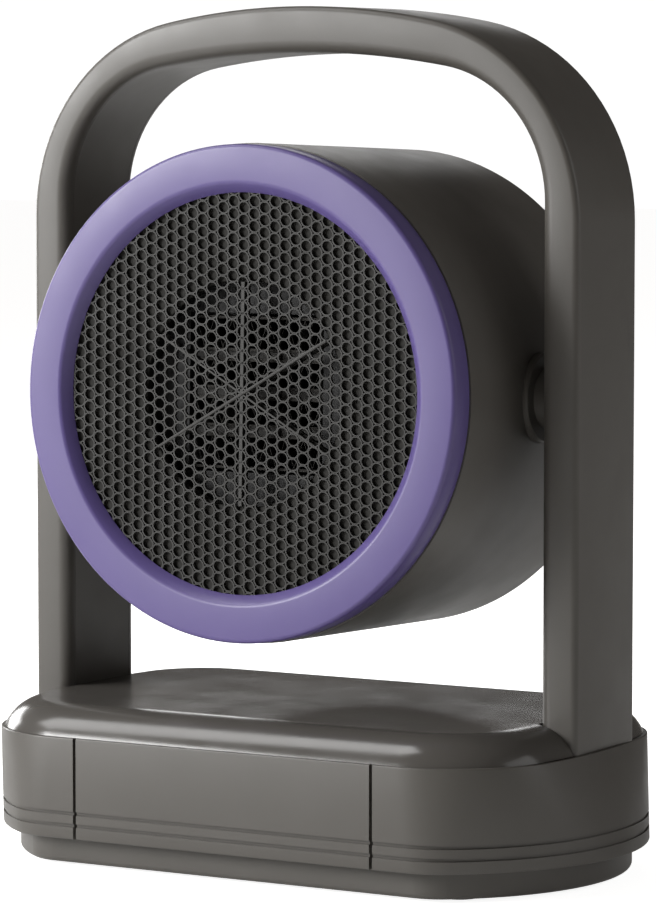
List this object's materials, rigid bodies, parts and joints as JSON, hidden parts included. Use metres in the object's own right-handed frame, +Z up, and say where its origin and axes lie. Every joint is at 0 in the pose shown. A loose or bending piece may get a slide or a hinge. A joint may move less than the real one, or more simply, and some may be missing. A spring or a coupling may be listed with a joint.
{
  "type": "fan heater",
  "caption": "Desk fan heater: a round tilting head with a honeycomb front hangs in a carrying arch on a domed base.",
  "frame": {"origin": "middle of the base at the floor, under the feet", "axes": "-Y is the front that the warm air leaves by, +X is the user's right, +Z is up"},
  "size_m": [0.216, 0.125, 0.2702],
  "materials": {
    "body_plastic": "satin",
    "cover_plastic": "satin gloss",
    "purple_plastic": "satin",
    "grille_plastic": "fine matt",
    "dark_plastic": "matt",
    "heat_plastic": "matt, heat resistant",
    "white_plastic": "matt",
    "rubber": "matt",
    "steel": "zinc plated",
    "aluminium": "plain",
    "ceramic": "matt ceramic",
    "board": "lacquered board"
  },
  "bodies": {
    "stand": {"arch_liner": "body_plastic", "arch_screws": "steel", "arch_shell": "body_plastic", "base_cover": "cover_plastic", "base_skirt": "body_plastic", "base_tray": "body_plastic", "board_screws": "steel", "bracket_screws": "steel", "control_board": "board", "cord_inlet": "rubber", "cover_screws": "steel", "front_panel": "body_plastic", "pivot_bracket_left": "steel", "pivot_bracket_right": "steel", "pivot_pin_left": "steel", "pivot_pin_right": "steel", "relay": "dark_plastic", "rocker_housing": "dark_plastic", "rubber_feet": "rubber", "terminal_block": "white_plastic", "tip_switch": "dark_plastic"},
    "head": {"baffle_plate": "grille_plastic", "drum_shell": "body_plastic", "duct_screws": "steel", "fan_motor": "steel", "front_bezel": "purple_plastic", "front_grille": "grille_plastic", "heater_duct": "heat_plastic", "hub_nut_left": "steel", "hub_nut_right": "steel", "motor_mount": "heat_plastic", "pivot_hub_left": "body_plastic", "pivot_hub_right": "body_plastic", "ptc_fins": "aluminium", "ptc_frame": "heat_plastic", "ptc_plates": "aluminium", "ptc_stones": "ceramic", "rear_grille": "body_plastic", "rear_screws": "steel", "retaining_ring": "heat_plastic", "ring_screws": "steel", "thermal_cutout": "steel", "tilt_washer_left": "white_plastic", "tilt_washer_right": "white_plastic"},
    "fan": {"fan_impeller": "dark_plastic", "motor_shaft": "steel"},
    "rocker": {"power_rocker": "dark_plastic"},
    "plunger": {"tip_plunger": "white_plastic"}
  },
  "joints": [
    {"name": "head_tilt", "type": "hinge", "parent": "stand", "child": "head", "pos_m": [0, 0.0037, 0.1493], "axis": [-1, 0, 0], "range_deg": [-20, 60]},
    {"name": "fan_spin", "type": "hinge", "parent": "head", "child": "fan", "pos_m": [0, 0.0037, 0.1493], "axis": [0, -0.9996, 0.0297], "continuous": true},
    {"name": "rocker_press", "type": "hinge", "parent": "stand", "child": "rocker", "pos_m": [0.042, 0.058, 0.029], "axis": [0, 0, 1], "range_deg": [0, 20]},
    {"name": "plunger_drop", "type": "slide", "parent": "stand", "child": "plunger", "axis": [0, 0, -1], "range_m": [0, 0.003], "stiffness_N_per_m": 60, "springref_m": 0.003}
  ]
}
